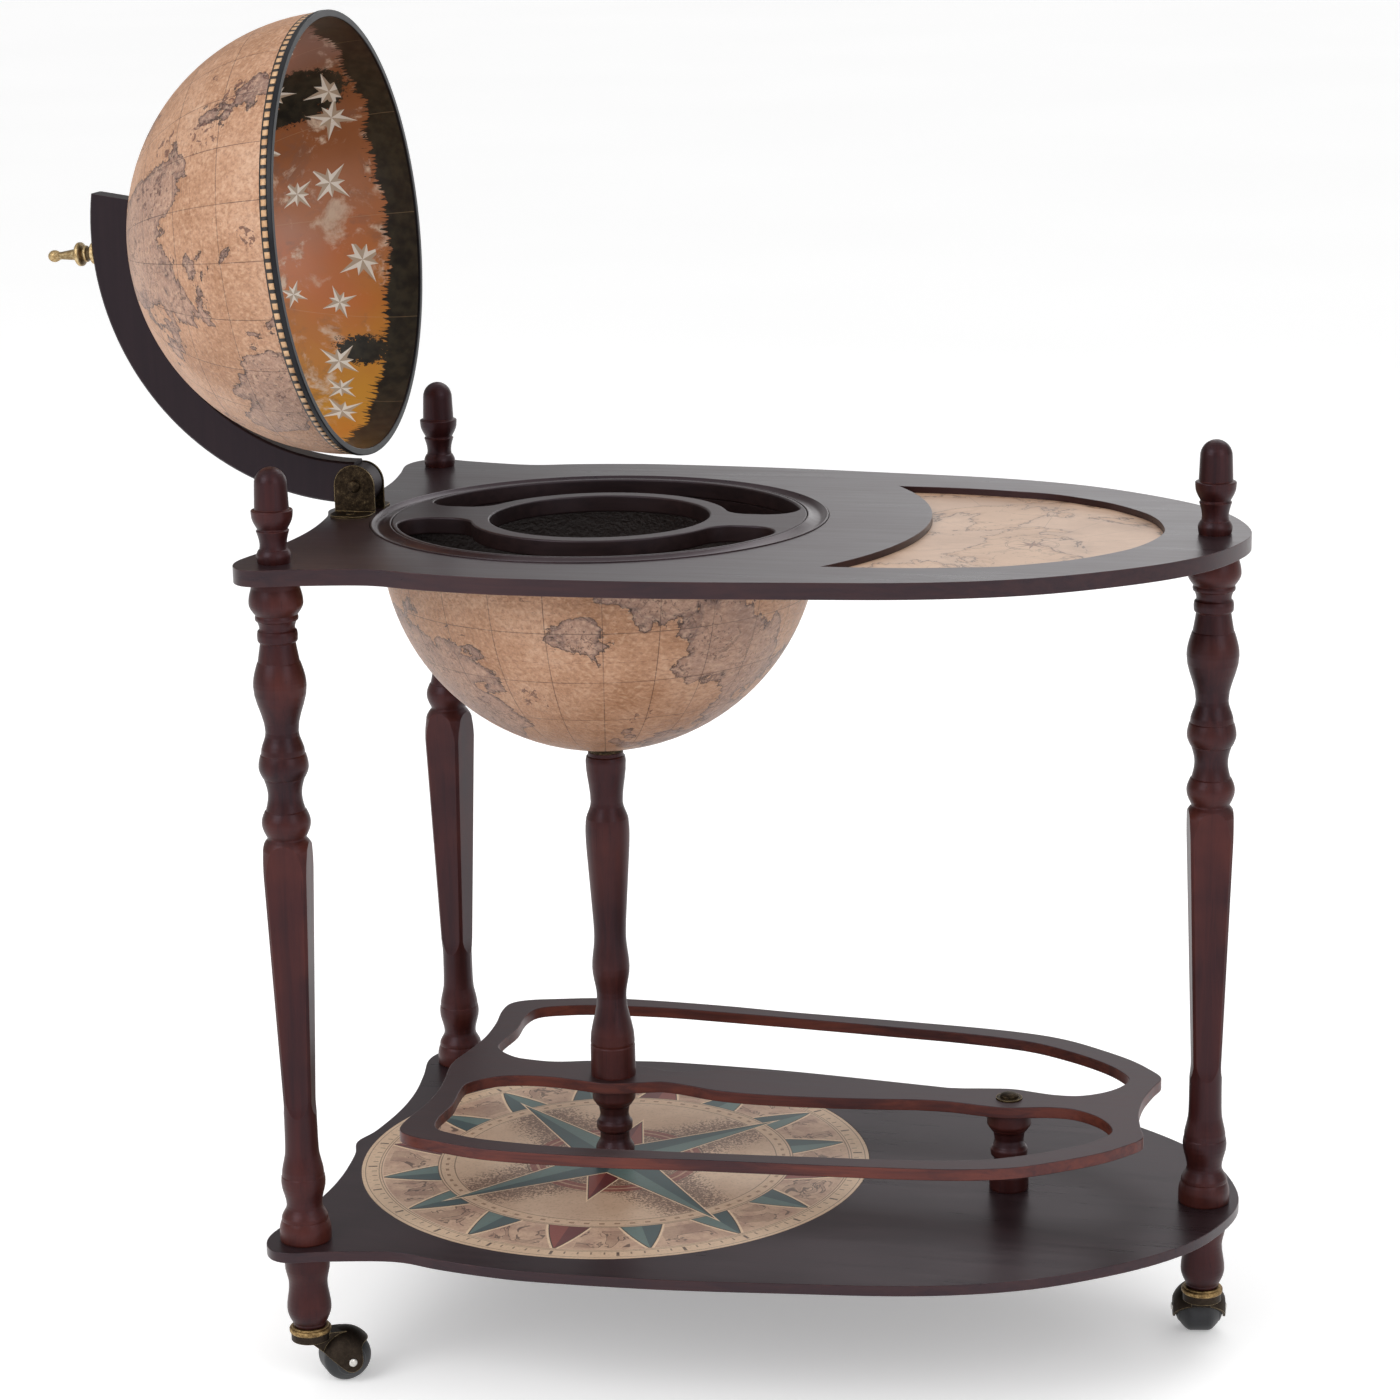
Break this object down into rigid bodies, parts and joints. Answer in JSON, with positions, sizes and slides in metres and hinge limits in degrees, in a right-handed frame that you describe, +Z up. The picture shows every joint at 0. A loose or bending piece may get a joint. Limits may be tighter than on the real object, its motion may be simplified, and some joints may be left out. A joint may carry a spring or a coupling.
{
  "type": "globe bar trolley",
  "caption": "Floor-standing globe bar on turned legs with ball casters: two shaped shelves, a bottle gallery, an inset bowl with a bottle tray and a half globe that opens on a wooden arm.",
  "frame": {"origin": "on the floor, under the middle of the whole object with its lid open", "axes": "+Z up; +X towards the long nose of the shelves, away from the lid's hinge; +Y towards the rear left leg, away from the picture's viewer"},
  "size_m": [0.9196, 0.458, 1.0079],
  "materials": {
    "shelf_wood": "satin",
    "turned_wood": "satin",
    "arm_wood": "satin",
    "tray_wood": "satin",
    "compass_paper": "satin",
    "map_paper": "satin",
    "globe_print": "satin",
    "lining_print": "satin",
    "rim_black": "satin",
    "brass": "antique",
    "steel": "satin",
    "wheel_grey": "satin"
  },
  "bodies": {
    "stand": {"lower_shelf": "shelf_wood", "compass_print": "compass_paper", "top_shelf": "shelf_wood", "map_print": "map_paper", "ring_moulding": "turned_wood", "bowl_hoop": "tray_wood", "bottle_tray": "tray_wood", "globe_bowl": "globe_print", "gallery": "tray_wood", "centre_post": "turned_wood", "post_washer": "brass", "tie_rod": "steel", "rod_nuts": "steel", "post_spacer": "turned_wood", "rail_spacer": "turned_wood", "rail_bolt": "brass", "rail_washer": "brass", "hinge_bracket_front": "brass", "hinge_bracket_rear": "brass", "hinge_pin": "brass", "bracket_screws": "brass", "leg_studs": "steel", "finial_front_left": "turned_wood", "finial_back_left": "turned_wood", "finial_right": "turned_wood", "leg_front_left": "turned_wood", "leg_back_left": "turned_wood", "leg_right": "turned_wood", "foot_front_left": "turned_wood", "foot_back_left": "turned_wood", "foot_right": "turned_wood", "caster_cup_front_left": "brass", "caster_cup_back_left": "brass", "caster_cup_right": "brass"},
    "lid_arm": {"meridian_arm": "arm_wood", "arm_finial": "brass", "polar_bolt": "brass", "polar_collar": "brass", "polar_nut": "brass"},
    "lid_dome": {"globe_dome": "globe_print", "dome_lining": "lining_print", "dome_rim": "rim_black"},
    "caster_front_left": {"caster_hood_front_left": "brass", "caster_axle_front_left": "brass"},
    "wheel_front_left": {"caster_wheel_front_left": "wheel_grey"},
    "caster_back_left": {"caster_hood_back_left": "brass", "caster_axle_back_left": "brass"},
    "wheel_back_left": {"caster_wheel_back_left": "wheel_grey"},
    "caster_right": {"caster_hood_right": "brass", "caster_axle_right": "brass"},
    "wheel_right": {"caster_wheel_right": "wheel_grey"}
  },
  "joints": [
    {"name": "lid_hinge", "type": "hinge", "parent": "stand", "child": "lid_arm", "pos_m": [-0.21667, 0, 0.652], "axis": [0, 1, 0], "range_deg": [0, 94.5]},
    {"name": "dome_spin", "type": "hinge", "parent": "lid_arm", "child": "lid_dome", "pos_m": [-0.21658, 0, 0.84209], "axis": [-0.9969, 0, -0.0785], "continuous": true},
    {"name": "swivel_front_left", "type": "hinge", "parent": "stand", "child": "caster_front_left", "pos_m": [-0.21467, -0.1984, 0.042], "axis": [0, 0, 1], "continuous": true},
    {"name": "roll_front_left", "type": "hinge", "parent": "caster_front_left", "child": "wheel_front_left", "pos_m": [-0.1939, -0.18275, 0.0185], "axis": [-0.6018, 0.7986, 0], "continuous": true},
    {"name": "swivel_back_left", "type": "hinge", "parent": "stand", "child": "caster_back_left", "pos_m": [-0.21467, 0.1984, 0.042], "axis": [0, 0, 1], "continuous": true},
    {"name": "roll_back_left", "type": "hinge", "parent": "caster_back_left", "child": "wheel_back_left", "pos_m": [-0.24027, 0.20291, 0.0185], "axis": [-0.1736, -0.9848, 0], "continuous": true},
    {"name": "swivel_right", "type": "hinge", "parent": "stand", "child": "caster_right", "pos_m": [0.43353, 0, 0.042], "axis": [0, 0, 1], "continuous": true},
    {"name": "roll_right", "type": "hinge", "parent": "caster_right", "child": "wheel_right", "pos_m": [0.42902, 0.0256, 0.0185], "axis": [-0.9848, -0.1736, 0], "continuous": true}
  ]
}
